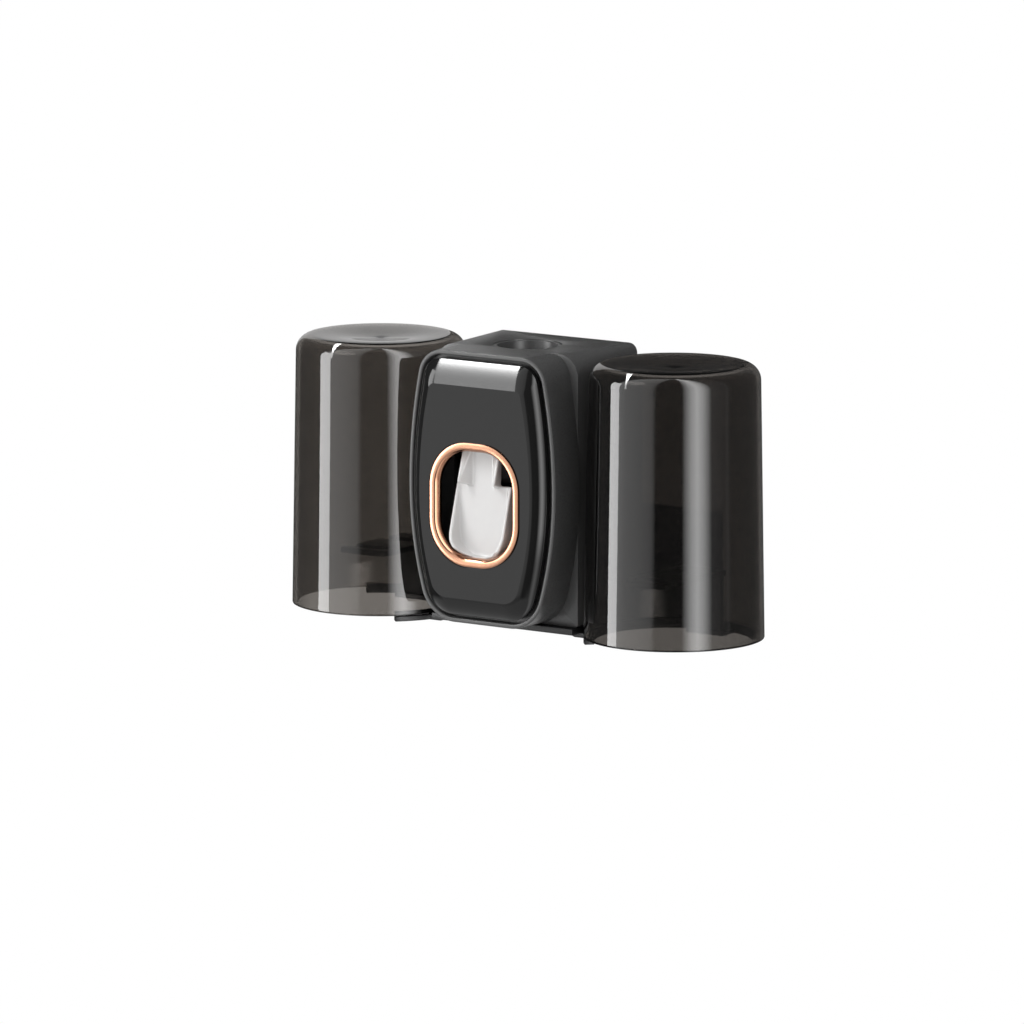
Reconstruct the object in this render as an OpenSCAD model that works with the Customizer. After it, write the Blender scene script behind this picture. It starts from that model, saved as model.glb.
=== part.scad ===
// Wall-mounted toothpaste dispenser with two inverted cups.
// Millimetres. The wall is the plane Y = 0, the front faces -Y, Z is up,
// and Z = 0 is the middle of the housing's height.

/* [Wall side] */
// Thickness of the adhesive pads
pad_t = 0.8; // [0.4:0.1:1.6]
// Thickness of the wall plate
plate_t = 2.4; // [1.8:0.1:4]
// Half-width of the wall plate behind the housing
plate_half_w = 30; // [27:0.5:34]
// How far the wall plate's top lies below the housing's top
plate_drop = 9; // [3:1:17]
// Height of the top of the wings above the middle of the housing
wing_top = -12; // [-30:1:0]
// How far the wings end short of the cup axes
wing_short = 1.5; // [0:0.5:10]
// Depth of the two rails that carry the hooks
rail_d = 8.5; // [6:0.5:14]
// Distance of the hooks from the middle plane
hook_x = 21; // [19:0.5:22]
// Width of a hook
hook_w = 5; // [3:0.5:7]
// Height of the bearing face of the upper hooks
hook_top_z = 24; // [18:1:28]
// Height of the bearing face of the lower hooks
hook_low_z = -26; // [-32:1:-16]
// Thickness of a hook's root and of its lip
hook_t = 2; // [1.5:0.1:3]
// Height of a hook's lip above its bearing face
hook_lip = 4.5; // [3:0.5:6]
// How far the housing lifts to clear the hooks
lift_travel = 7; // [6:0.5:8]
// Diameter of the holes for wall screws
wall_hole_d = 4.2; // [3:0.1:5.5]
// Distance between the wall screw holes across the plate
wall_hole_dx = 20; // [14:1:24]
// Distance between the wall screw holes up the plate
wall_hole_dz = 64; // [40:1:76]

/* [Housing] */
// Height of the housing
body_h = 114; // [110:0.5:120]
// Width of the rear housing
body_w = 72; // [68:0.5:78]
// Depth of the rear housing
housing_d = 43.5; // [40:0.5:50]
// Wall thickness of the housing
body_wall = 2.4; // [1.8:0.1:3]
// Radius of the upper corners at the back of the rear housing
body_top_r = 4; // [3:0.5:10]
// Radius of the lower corners of the rear housing
body_low_r = 1.5; // [0.5:0.1:4]

/* [Front bezel] */
// Depth of the bezel from the housing to its lip
bezel_d = 18; // [16:0.5:22]
// How far each side of the bezel swells past the housing
barrel_swell = 1; // [0:0.1:3]
// Radius of the upper side curves of the bezel
side_top_r = 228; // [180:1:400]
// Radius of the lower side curves of the bezel
side_low_r = 158; // [130:1:300]
// Radius of the upper corners of the bezel
barrel_top_r = 12; // [11:0.5:16]
// Radius of the lower corners of the bezel
barrel_low_r = 17; // [12:0.5:20]
// Wall thickness of the bezel
bezel_wall = 2; // [1.5:0.1:3]
// Width of the flange inside the bezel
bezel_flange_w = 8; // [7:0.5:8.5]

/* [Front panel] */
// How far the panel's face stands out from the lip
panel_proud = 5.4; // [3:0.1:8]
// Width of the dark groove between the bezel and the panel
groove_w = 1.5; // [0.8:0.1:2.5]
// Thickness of the panel's face
panel_t = 2.5; // [1.8:0.1:3.5]
// Thickness of the panel's rim
panel_rim_t = 2.2; // [1.6:0.1:3]
// Width of the rounded sides of the panel, seen from the front
round_w = 5.6; // [2:0.1:7]
// How much wider the panel is rounded along its top
round_top = 4.3; // [0:0.1:5]
// How much wider the panel is rounded along its bottom
round_low = 2.1; // [0:0.1:4]
// Depth of the rounded edge of the panel
round_d = 4.4; // [2:0.2:5]
// Diameter of the pegs that hold the panel
peg_d = 3.2; // [2.6:0.1:3.4]
// Clearance round a peg
peg_gap = 0.3; // [0.2:0.05:0.5]
// How far the panel comes off
panel_travel = 30; // [20:1:50]

/* [Trim ring] */
// Outer width of the trim ring
trim_w = 44.7; // [38:0.1:50]
// Outer height of the trim ring
trim_h = 52; // [46:0.1:60]
// Outer corner radius of the trim ring
trim_r = 19; // [14:0.5:19]
// Width of the face of the trim ring
trim_face = 2.9; // [2:0.1:4]
// How far the trim ring's flange overlaps the panel
trim_overlap = 1.3; // [0.8:0.1:1.6]
// How far the trim ring stands out from the panel
trim_proud = 0.5; // [0.2:0.1:1]
// Depth of the trim ring from face to rear edge
trim_d = 4; // [3:0.1:4.2]
// Height of the centre of the opening
trim_z = -5.9; // [-8:0.1:-2]

/* [Cups] */
// Outer diameter of a cup at its rim
cup_rim_d = 75; // [72:0.5:84]
// Outer diameter of a cup where its shoulder starts
cup_base_d = 71.4; // [66:0.2:71.5]
// Height of a cup from its rim to the crest of its base
cup_h = 114.4; // [95:0.2:125]
// Wall thickness of a cup
cup_wall = 1.8; // [1.2:0.1:2.4]
// Radius of the shoulder between the wall and the base
cup_shoulder_r = 7; // [4:0.5:10]
// Depth of the dish in the base of a cup
cup_dish = 1.8; // [0.5:0.1:3]
// Gap between a cup and the side of the housing
cup_side_gap = 1; // [0.5:0.1:4]
// Gap between a cup and the wall plate
cup_rear_gap = 0.6; // [0.4:0.1:3]
// How far the rims lie below the housing
rim_drop = 1.8; // [1.2:0.1:4]
// How far a cup lifts to come off its hanger
cup_travel = 125; // [60:5:140]

/* [Tray and hangers] */
// Gap between stacked pieces that lift apart
rest_gap = 0.3; // [0.2:0.05:0.5]
// Thickness of the ledge under a cup's rim
ledge_t = 2; // [2:0.1:4]
// Radial width of the ledge
ledge_w = 4.5; // [3.5:0.1:6]
// Thickness of the tray under the housing
tray_t = 2.5; // [2:0.1:4]
// How far the tray's front edge lies behind the lip of the bezel
tray_setback = 14.5; // [10:0.5:17]
// Height of the centring lip inside a cup's rim
lip_h = 2; // [1:0.1:4]
// Thickness of the centring lip
lip_t = 1.6; // [1.2:0.1:3]
// Height of the hanger's shelf above the rim
shelf_rise = 25; // [16:0.1:40]
// Thickness of the hanger's shelf
shelf_t = 2.3; // [1.8:0.1:4]
// Width of a neck slot
slot_w = 7; // [5:0.1:9]
// Distance between the two neck slots
slot_pitch = 23.6; // [16:0.1:25]
// Distance from the cup's axis to the bottom of a neck slot
slot_depth = 8; // [4:0.5:9]

/* [Paste port] */
// Diameter of the round port in the top face
port_d = 28.8; // [26:0.1:29]
// How far the port's centre lies behind the lip of the bezel
port_setback = 33.5; // [33:0.1:35]
// Bore of the seal that grips the neck of a paste tube
neck_bore_d = 12; // [9:0.1:13]

/* [Pump] */
// How far the pump's plunger lies below the housing's top
plunger_drop = 42; // [41.5:0.5:42.5]
// Outer diameter of the pump chamber
chamber_d = 20; // [18:0.5:21]
// Bore of the pump chamber
chamber_bore = 14; // [10:0.5:15]
// How far the outlet spout lies below the housing's top
spout_drop = 24; // [24:0.5:24.5]
// Outer diameter of the outlet spout
spout_d = 8.4; // [7:0.1:8.6]
// Bore of the outlet spout
spout_bore = 4.8; // [3:0.1:5]
// Diameter of the plunger's stem
stem_d = 6; // [4:0.1:6.4]
// Running clearance of a stem or pin in its bore, on the radius
run_gap = 0.05; // [0.02:0.01:0.1]
// Wire diameter of the return spring
wire_d = 0.8; // [0.5:0.05:1]
// Mean diameter of the return spring
spring_d = 8.8; // [8.2:0.1:10]
// Number of turns of the return spring
spring_turns = 4; // [3:1:5]

/* [Lever] */
// How far the lever's hinge pin lies below the housing's top
pivot_drop = 17; // [16:0.5:17.5]
// Diameter of the hinge pin
pin_d = 2.5; // [2:0.1:2.8]
// Thickness of the lever's floor
lever_t = 1.2; // [1:0.1:1.6]
// Thickness of the lever's side walls
lever_wall = 1.6; // [1.2:0.1:2.4]
// Width of the lever's neck
neck_w = 19; // [17:0.1:20]
// Width of the lever's spoon
spoon_w = 27.8; // [24:0.1:29]
// Height where the neck widens into the spoon, above the middle of the opening
spoon_rise = 8; // [2:0.2:11]
// How far the bottom of the spoon lies below the middle of the opening
spoon_fall = 23.7; // [22.7:0.1:25]
// Radius of the lower corners of the spoon
spoon_r = 12; // [8:0.5:13]
// Angle that the lever swings back
lever_swing = 12; // [8:0.5:12]

/* [Hidden] */

$fn = 96;
black = "#2b2b2b";
gloss_black = "#404040";
smoke = "#5a5552";
rose_gold = "#f5b895";
white = "#ececec";
steel = "#b9bcc0";
rubber_grey = "#5e6062";
clear_silicone = "#d9dcdc";
cut = 1;
seg = 8;

// Planes across the depth, from the wall to the front
plate_y = -(pad_t + plate_t);
rail_y = plate_y - rail_d;
back_y = rail_y - rest_gap;
inner_back_y = back_y - body_wall;
split_y = back_y - housing_d;
lip_y = split_y - bezel_d;
panel_y = lip_y - panel_proud;
trim_y = panel_y - trim_proud;
trim_back_y = trim_y + trim_d;
flange_y = lip_y + 3.3;
flange_t = 2;
panel_back_y = flange_y - 2;

// Heights
half_h = body_h / 2;
rim_z = -half_h - rim_drop;
ledge_z = rim_z - rest_gap;
tray_z = -half_h - rest_gap;
low_z = tray_z - tray_t;

// Cups
cup_x = body_w / 2 + cup_side_gap + cup_rim_d / 2;
cup_y = plate_y - cup_rear_gap - cup_rim_d / 2;
cup_inner_r = cup_rim_d / 2 - cup_wall;
lip_r = cup_inner_r - 0.5;
mouth_r = cup_rim_d / 2 + 0.5 - ledge_w;
shelf_z = rim_z + shelf_rise;
plate_top = half_h - plate_drop;
rail_low = low_z + 17.8;

// Outline of the front: side arcs and corner arcs that share centres at every inset
barrel_hw = body_w / 2 + barrel_swell;
side_top_x = barrel_hw - side_top_r;
side_low_x = barrel_hw - side_low_r;
corner_low_z = half_h - barrel_low_r;
corner_low_x = side_low_x + sqrt(pow(side_low_r - barrel_low_r, 2) - pow(corner_low_z, 2));
turn_low = atan2(corner_low_z, corner_low_x - side_low_x);
function corner_top_x(r) = side_top_x + sqrt(pow(side_top_r - r, 2) - pow(half_h - r, 2));
function turn_top(r) = atan2(half_h - r, corner_top_x(r) - side_top_x);
// The upper corners tighten evenly from the lip to the back
split_top_r = barrel_top_r + (body_top_r - barrel_top_r) * bezel_d / (bezel_d + housing_d);

// Pump
port_y = lip_y + port_setback;
chamber_r = chamber_d / 2;
bore_r = chamber_bore / 2;
plunger_z = half_h - plunger_drop;
spout_z = half_h - spout_drop;
chamber_top = half_h - 11;
chamber_low = plunger_z - 11;
branch_r = bore_r + 2.5;
branch_y = port_y - chamber_r - 1.5;
seal_t = 1.5;
cap_r = branch_r + 2.8;
cap_step_y = branch_y - seal_t;
cap_face_y = cap_step_y - 3.5;
spout_r = spout_d / 2;
spout_y = lip_y + 2.8;
spout_tip_z = spout_z - 9;
valve_seat_z = chamber_top - 8;

// Lever
pivot_z = half_h - pivot_drop;
spoon_top = trim_z + spoon_rise;
spoon_low = trim_z - spoon_fall;
lever_y = lip_y + 3;
slot_low = spout_tip_z - 4.5;
neck_low = spoon_top - 1;
neck_front = lever_y - 7.4;
neck_lean = 5;
toe_h = 8;
pivot_y = lever_y + 0.5;
pin_r = pin_d / 2;
arm_in = neck_w / 2 - 2.2;
frame_in = neck_w / 2 + 1.8;
frame_t = 2.4;
frame_hw = 25;
frame_y = inner_back_y - 9.6;
frame_low = chamber_low - 4.4;
frame_top = pivot_z + 6;
frame_screw_x = 21;
frame_screw_low = frame_low + 4.4;
frame_screw_top = frame_top - 4;
thread_r = 1.25;
ball_r = 6;
tip_y = lever_y + 0.35;
disc_y = tip_y + 1.9;
disc_t = 1.2;
disc_r = 6.5;

// Points along an arc from angle a0 to angle a1
function arc(cx, cz, r, a0, a1) =
    [for (i = [0 : seg]) let (a = a0 + (a1 - a0) * i / seg) [cx + r * cos(a), cz + r * sin(a)]];

// Right half of the barrel outline, drawn inset by a distance, from the bottom to the top
function barrel_half(inset, r) = concat(
    arc(corner_low_x, -corner_low_z, max(barrel_low_r - inset, 0.5), -90, -turn_low),
    arc(side_low_x, 0, side_low_r - inset, -turn_low, 0),
    arc(side_top_x, 0, side_top_r - inset, 0, turn_top(r)),
    arc(corner_top_x(r), half_h - r, max(r - inset, 0.5), turn_top(r), 90));

// Right half of the rear housing's outline
function box_half(inset, r) = concat(
    arc(body_w / 2 - body_low_r, body_low_r - half_h, max(body_low_r - inset, 0.2), -90, 0),
    arc(body_w / 2 - r, half_h - r, max(r - inset, 0.5), 0, 90));

// A half outline and its mirror image make the whole one
function whole(half) = concat(half, [for (i = [len(half) - 1 : -1 : 0]) [-half[i][0], half[i][1]]]);

module barrel(inset, top_r = barrel_top_r) polygon(whole(barrel_half(inset, top_r)));

module box_outline(inset, top_r) {
    intersection() {
        polygon(whole(box_half(inset, top_r)));
        square([body_w - 2 * inset, body_h - 2 * inset], center = true);
    }
}

module round_rect(w, h, r) {
    xs = w / 2 - r;
    zs = h / 2 - r;
    union() {
        square([w, 2 * zs], center = true);
        square([2 * xs, h], center = true);
        for (sx = [-1, 1], sz = [-1, 1]) translate([sx * xs, sz * zs]) circle(r);
    }
}

// Extrudes an outline drawn in X and Z from the depth y0 to the depth y1
module slab(y0, y1) {
    translate([0, y1, 0]) rotate([90, 0, 0]) linear_extrude(y1 - y0) children();
}

// A round bar along the depth
module bar_y(x, z, r, y0, y1) {
    translate([x, y1, z]) rotate([90, 0, 0]) cylinder(h = y1 - y0, r = r);
}

// A round bar across the width
module bar_x(y, z, r, x0, x1) {
    translate([x0, y, z]) rotate([0, 90, 0]) cylinder(h = x1 - x0, r = r);
}

module bar_z(x, y, r, z0, z1) {
    translate([x, y, z0]) cylinder(h = z1 - z0, r = r);
}

// A block between two opposite corners
module block(x0, x1, y0, y1, z0, z1) {
    translate([x0, y0, z0]) cube([x1 - x0, y1 - y0, z1 - z0]);
}

module both_sides() {
    children();
    mirror([1, 0, 0]) children();
}

// A screw along the depth: the head sits in front of the plane y
module screw_y(x, z, y, length, head_r = 2.6, head_t = 1.6) {
    difference() {
        union() {
            bar_y(x, z, head_r, y - head_t, y);
            bar_y(x, z, thread_r, y - 0.01, y + length);
        }
        translate([x, y - head_t - cut, z]) rotate([-90, 0, 0]) cylinder(h = cut + 0.9, r = 1.2, $fn = 6);
    }
}

// A screw up from below: the head sits under the plane z
module screw_z(x, y, z, length, head_r = 2.6, head_t = 1.6) {
    difference() {
        union() {
            bar_z(x, y, head_r, z - head_t, z);
            bar_z(x, y, thread_r, z - 0.01, z + length);
        }
        translate([x, y, z - head_t - cut]) cylinder(h = cut + 0.9, r = 1.2, $fn = 6);
    }
}

// Sizes that the wall plate and the tray share
rail_in = hook_x - 4;
rail_out = hook_x + 4;
join_top = low_z + 9.8;
join_d = 3.6;
join_x = 38;
join_screw_x = [12, 32];
join_screw_z = low_z + 5.5;

module wall_hole_places() {
    for (sx = [-1, 1], sz = [-1, 1]) translate([sx * wall_hole_dx / 2, 0, sz * wall_hole_dz / 2]) children();
}

module hook(z0) {
    block(hook_x - hook_w / 2, hook_x + hook_w / 2,
        inner_back_y - 0.5 - hook_t, rail_y, z0 - hook_t - 1, z0);
    block(hook_x - hook_w / 2, hook_x + hook_w / 2,
        inner_back_y - 0.5 - hook_t, inner_back_y - 0.5, z0 - hook_t - 1, z0 + hook_lip);
}

module wall_plate() color(black) {
    difference() {
        union() {
            slab(plate_y, -pad_t) translate([-plate_half_w, low_z]) square([2 * plate_half_w, plate_top - low_z]);
            slab(plate_y, -pad_t) translate([wing_short - cup_x, low_z])
                square([2 * (cup_x - wing_short), wing_top - low_z]);
            both_sides() block(rail_in, rail_out, rail_y, plate_y + 0.01, rail_low, plate_top - 4);
            block(-rail_out, rail_out, plate_y - 3, plate_y + 0.01, plate_top - 8, plate_top - 4);
            block(-join_x, join_x, plate_y - join_d, plate_y + 0.01, low_z, join_top);
            both_sides() hook(hook_top_z);
            both_sides() hook(hook_low_z);
        }
        wall_hole_places() translate([0, cut, 0]) rotate([90, 0, 0])
            cylinder(h = cut - plate_y + cut, r = wall_hole_d / 2);
        both_sides() for (x = join_screw_x) bar_y(x, join_screw_z, thread_r + run_gap,
            plate_y - join_d - cut, -pad_t - 0.8);
    }
}

module adhesive_pads() color("#6f7072") {
    difference() {
        slab(-pad_t, 0) square([2 * plate_half_w - 4, 2 * (half_h - plate_drop) - 4], center = true);
        wall_hole_places() translate([0, cut, 0]) rotate([90, 0, 0])
            cylinder(h = pad_t + 2 * cut, r = wall_hole_d / 2 + 0.5);
    }
    both_sides() slab(-pad_t, 0) translate([plate_half_w + 4, low_z + 3])
        square([cup_x - wing_short - plate_half_w - 7, wing_top - low_z - 6]);
}

// Ledge, centring lip and hanger seat of the right-hand cup
ledge_from = 44;
ledge_to = 225;
ledge_r = min(cup_rim_d / 2 - 0.1, plate_y - cup_y - 0.05);
seat_hx = 9;
seat_in = 22.5;
web_in = 30;
web_out = 44;

module ring_sector(r_in, r_out, z0, z1) {
    translate([cup_x, cup_y, z0]) rotate([0, 0, ledge_from])
        rotate_extrude(angle = ledge_to - ledge_from) translate([r_in, 0]) square([r_out - r_in, z1 - z0]);
}

module right_ledge() {
    ring_sector(mouth_r, ledge_r, ledge_z - ledge_t, ledge_z);
    ring_sector(lip_r - lip_t, lip_r, ledge_z - 0.01, ledge_z + lip_h);
    difference() {
        block(cup_x - seat_hx, cup_x + seat_hx, cup_y + seat_in, cup_y + mouth_r + 1,
            ledge_z - ledge_t, ledge_z);
        for (dx = [-5, 5]) bar_z(cup_x + dx, cup_y + hanger_screw_y, thread_r + 0.25,
            ledge_z - ledge_t - cut, ledge_z + cut);
    }
}

module cup_tray() color(black) {
    difference() {
        union() {
            block(0.4 - body_w / 2, body_w / 2 - 0.4, lip_y + tray_setback, plate_y - join_d, low_z, tray_z);
            block(-join_x, join_x, plate_y - join_d - 2.4, plate_y - join_d, low_z, join_top);
            both_sides() difference() {
                slab(lip_y + tray_setback + 4, plate_y - join_d - 6) polygon([
                    [web_in, ledge_z], [web_in, ledge_z - 0.4], [web_in + 4, ledge_z - ledge_t],
                    [web_out, ledge_z - ledge_t], [web_out, ledge_z]]);
                bar_z(cup_x, cup_y, mouth_r + 2, ledge_z - ledge_t - cut, ledge_z + cut);
            }
        }
        both_sides() for (x = join_screw_x) bar_y(x, join_screw_z, thread_r + 0.25,
            plate_y - join_d - 2.4 - cut, plate_y);
    }
    both_sides() right_ledge();
}

module tray_screws() color(steel) {
    both_sides() for (x = join_screw_x) screw_y(x, join_screw_z, plate_y - join_d - 2.4, 6.6);
}

// Hanger of the right-hand cup: foot, post, shelf with two slots
post_in = 24;
post_t = 3;
post_hx = 7;
foot_t = 2.5;
foot_out = lip_r - lip_t - 1.3;
hanger_screw_y = 29.6;
shelf_in_x = -14.5;
shelf_out_x = 8;
shelf_front = -18;

module shelf_outline() {
    difference() {
        translate([shelf_in_x, shelf_front])
            square([shelf_out_x - shelf_in_x, post_in + post_t - shelf_front]);
        for (s = [-1, 1]) translate([-slot_depth, 1.5 + s * slot_pitch / 2]) {
            circle(slot_w / 2);
            translate([0, -slot_w / 2]) square([slot_depth + shelf_out_x + cut, slot_w]);
        }
        translate([shelf_in_x, shelf_front]) difference() {
            translate([-cut, -cut]) square([6 + cut, 6 + cut]);
            translate([6, 6]) circle(6);
        }
    }
}

module right_hanger() color(black) {
    translate([cup_x, cup_y, 0]) difference() {
        union() {
            translate([0, 0, shelf_z - shelf_t]) linear_extrude(shelf_t) shelf_outline();
            block(-post_hx, post_hx, post_in, post_in + post_t, ledge_z, shelf_z);
            block(-post_hx, post_hx, post_in, foot_out, ledge_z, ledge_z + foot_t);
            translate([-post_hx, 0, 0]) rotate([90, 0, 90]) linear_extrude(2)
                polygon([[post_in + 0.01, shelf_z - shelf_t + 0.01], [post_in + 0.01, shelf_z - shelf_t - 8],
                    [post_in - 5, shelf_z - shelf_t + 0.01]]);
        }
        for (dx = [-5, 5]) bar_z(dx, hanger_screw_y, thread_r + run_gap, ledge_z - cut, ledge_z + foot_t + cut);
    }
}

module left_hanger() mirror([1, 0, 0]) right_hanger();

module hanger_screws() color(steel) {
    both_sides() for (dx = [-5, 5])
        screw_z(cup_x + dx, cup_y + hanger_screw_y, ledge_z - ledge_t, ledge_t + foot_t - 0.3, 2, 1.2);
}

// Bezel screws and panel pegs sit in the bezel's flange
bezel_screw_top = [25.5, half_h - 11.5];
bezel_screw_low = [22, 11 - half_h];
peg_top = [13, half_h - 6.7];
peg_low = [11, 6.8 - half_h];
bezel_boss_r = 3;

module at_xz(points) {
    both_sides() for (p = points) translate([p[0], 0, p[1]]) children();
}

module frame_screw_places() {
    at_xz([[frame_screw_x, frame_screw_low], [frame_screw_x, frame_screw_top]]) children();
}

module bezel_screw_places() {
    at_xz([bezel_screw_top, bezel_screw_low]) children();
}

module rear_housing() color(black) {
    difference() {
        union() {
            difference() {
                hull() {
                    slab(split_y, split_y + 0.02) box_outline(0, split_top_r);
                    slab(back_y - 0.02, back_y) box_outline(0, body_top_r);
                }
                slab(split_y + body_wall, inner_back_y) box_outline(body_wall, barrel_top_r);
                slab(split_y - cut, split_y + body_wall + cut)
                    intersection() { barrel(bezel_wall + bezel_flange_w); box_outline(body_wall, barrel_top_r); }
            }
            frame_screw_places() bar_y(0, 0, 3.6, frame_y, inner_back_y + 0.01);
            bezel_screw_places() bar_y(0, 0, 3.2, split_y + 0.01, split_y + body_wall + 5);
        }
        bar_z(0, port_y, port_d / 2, chamber_top - cut, half_h + cut);
        for (z0 = [hook_top_z, hook_low_z]) both_sides()
            block(hook_x - hook_w / 2 - 0.8, hook_x + hook_w / 2 + 0.8, inner_back_y - cut, back_y + cut,
                z0 - hook_t - 1 - lift_travel - 0.6, z0 + rest_gap);
        frame_screw_places() bar_y(0, 0, thread_r + run_gap, frame_y - cut, inner_back_y - 1);
        bezel_screw_places() bar_y(0, 0, thread_r + run_gap, split_y - cut, split_y + body_wall + 4);
    }
}

module front_bezel() color(black) {
    difference() {
        union() {
            difference() {
                hull() {
                    slab(lip_y, lip_y + 1) barrel(0);
                    slab(split_y - 1, split_y) barrel(0.02, split_top_r);
                }
                slab(lip_y - cut, split_y + cut) barrel(bezel_wall);
            }
            difference() {
                slab(flange_y, flange_y + flange_t) barrel(bezel_wall - 0.5);
                slab(flange_y - cut, flange_y + flange_t + cut) barrel(bezel_wall + bezel_flange_w);
            }
            bezel_screw_places() bar_y(0, 0, bezel_boss_r, flange_y + 0.5, split_y);
        }
        bezel_screw_places() bar_y(0, 0, thread_r + 0.25, flange_y - cut, split_y + cut);
        at_xz([peg_top, peg_low]) bar_y(0, 0, peg_d / 2 + peg_gap, flange_y - cut, flange_y + flange_t + cut);
    }
}

module bezel_screws() color(steel) {
    bezel_screw_places() screw_y(0, 0, flange_y, split_y + body_wall + 2 - flange_y);
}

// The panel is rounded by stacked outlines that follow a quarter ellipse
panel_inset = bezel_wall + groove_w;
trim_tube_w = trim_w - 2 * trim_overlap;
trim_tube_h = trim_h - 2 * trim_overlap;
trim_in_w = trim_w - 2 * trim_face;
trim_in_h = trim_h - 2 * trim_face;

module panel_body() {
    hull() {
        slab(panel_back_y - 0.2, panel_back_y) barrel(panel_inset);
        for (i = [0 : 6]) {
            y = panel_y + round_d * (1 - sin(15 * i));
            k = 1 - cos(15 * i);
            slab(y, y + 0.02) translate([0, (round_low - round_top) * k / 2])
                scale([1, 1 - (round_low + round_top) * k / (body_h - 2 * panel_inset - 2 * round_w * k)])
                barrel(panel_inset + round_w * k);
        }
    }
}

module front_panel() color(gloss_black) {
    difference() {
        panel_body();
        slab(panel_y + panel_t, panel_back_y + cut) barrel(panel_inset + panel_rim_t);
        slab(panel_y - cut, panel_y + panel_t + cut) translate([0, trim_z])
            round_rect(trim_tube_w + 0.2, trim_tube_h + 0.2, trim_r - trim_overlap + 0.1);
    }
    at_xz([peg_top, peg_low]) bar_y(0, 0, peg_d / 2, panel_y + panel_t - 0.01, flange_y + flange_t + 1);
}

module trim_ring() color(rose_gold) {
    difference() {
        union() {
            slab(trim_y, panel_y) translate([0, trim_z]) round_rect(trim_w, trim_h, trim_r);
            slab(trim_y, trim_back_y) translate([0, trim_z])
                round_rect(trim_tube_w, trim_tube_h, trim_r - trim_overlap);
        }
        slab(trim_y - cut, trim_back_y + cut) translate([0, trim_z])
            round_rect(trim_in_w, trim_in_h, trim_r - trim_face);
    }
}

// Paste port
collar_r = port_d / 2 - 0.2;
collar_wall = 1.4;
collar_floor = 2.2;
seal_hole_r = neck_bore_d / 2 + 2.6;

module port_collar() color(black) {
    difference() {
        bar_z(0, port_y, collar_r, chamber_top, half_h - 0.3);
        bar_z(0, port_y, collar_r - collar_wall, chamber_top + collar_floor, half_h + cut);
        bar_z(0, port_y, seal_hole_r, chamber_top - cut, half_h);
    }
}

module port_seal() color(rubber_grey) {
    floor_z = chamber_top + collar_floor;
    r = neck_bore_d / 2;
    translate([0, port_y, 0]) rotate_extrude() polygon([
        [r, chamber_top - 2.5], [bore_r - 0.1, chamber_top - 2.5], [bore_r - 0.1, chamber_top],
        [seal_hole_r - 0.1, chamber_top], [seal_hole_r - 0.1, floor_z], [seal_hole_r + 2.2, floor_z],
        [seal_hole_r + 2.2, floor_z + 1.2], [r + 1.2, floor_z + 2.2], [r, floor_z + 1]]);
}

module pump_chamber() color(black) {
    difference() {
        union() {
            bar_z(0, port_y, chamber_r, chamber_low, chamber_top);
            bar_y(0, plunger_z, branch_r, branch_y, port_y);
            bar_y(0, plunger_z, branch_r + 1, branch_y, branch_y + 2);
            bar_y(0, spout_z, spout_r, spout_y, port_y);
            translate([0, spout_y, spout_z]) sphere(spout_r);
            bar_z(0, spout_y, spout_r, spout_tip_z, spout_z);
        }
        bar_z(0, port_y, bore_r, chamber_low - cut, chamber_top + cut);
        bar_z(0, port_y, bore_r + 1, valve_seat_z, chamber_top - 3.2);
        bar_y(0, plunger_z, bore_r, branch_y - cut, port_y);
        bar_y(0, spout_z, spout_bore / 2, spout_y - spout_r - cut, port_y);
        bar_z(0, spout_y, spout_bore / 2, spout_tip_z - cut, spout_z);
        bar_z(0, spout_y, spout_bore / 2 + 0.8, spout_tip_z - cut, spout_tip_z + 3);
    }
}

module chamber_plug() color(black) {
    bar_z(0, port_y, bore_r - run_gap, chamber_low - 0.01, chamber_low + 4);
    bar_z(0, port_y, chamber_r - 1, chamber_low - 2, chamber_low);
}

module spout_plug() color(black) {
    bar_y(0, spout_z, spout_bore / 2 - run_gap, spout_y - spout_r + 0.4, spout_y - spout_bore / 2 - 0.1);
}

module inlet_valve() color(clear_silicone) {
    translate([0, port_y, 0]) rotate_extrude() polygon([
        [3, valve_seat_z + 2.2], [bore_r + 0.9, valve_seat_z + 2.2], [bore_r + 0.9, valve_seat_z],
        [bore_r - 1.4, valve_seat_z], [1.6, valve_seat_z - 6], [0.5, valve_seat_z - 6]]);
}

module nozzle_valve() color(clear_silicone) {
    seat_r = spout_bore / 2 + 0.75;
    translate([0, spout_y, 0]) rotate_extrude() polygon([
        [1.8, spout_tip_z + 2.8], [seat_r, spout_tip_z + 2.8], [seat_r, spout_tip_z],
        [spout_r, spout_tip_z], [spout_r, spout_tip_z - 1], [seat_r, spout_tip_z - 1],
        [1.5, spout_tip_z - 3.6], [0.4, spout_tip_z - 3.6]]);
}

module diaphragm() color(clear_silicone) {
    // Bead at the edge, one rolled convolution and a stiff centre
    translate([0, branch_y, plunger_z]) rotate([90, 0, 0]) rotate_extrude() polygon([
        [0, 0], [3.6, 0], [4, -1.8], [4.8, -2.4], [5.6, -1.8], [6, 0], [branch_r + 0.9, 0],
        [branch_r + 0.9, seal_t], [bore_r + 1.6, seal_t], [bore_r + 1.6, 0.8], [5.4, 0.8], [4.9, -1.3],
        [4.7, -1.3], [4.3, seal_t], [0, seal_t]]);
}

module retaining_cap() color(black) {
    difference() {
        bar_y(0, plunger_z, cap_r, cap_face_y, branch_y + 1.2);
        bar_y(0, plunger_z, branch_r + 1 + run_gap, cap_step_y, branch_y + 1.2 + cut);
        bar_y(0, plunger_z, bore_r + 1.8, cap_face_y + 1.5, cap_step_y + 0.01);
        bar_y(0, plunger_z, stem_d / 2 + run_gap, cap_face_y - cut, cap_step_y);
    }
}

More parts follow.
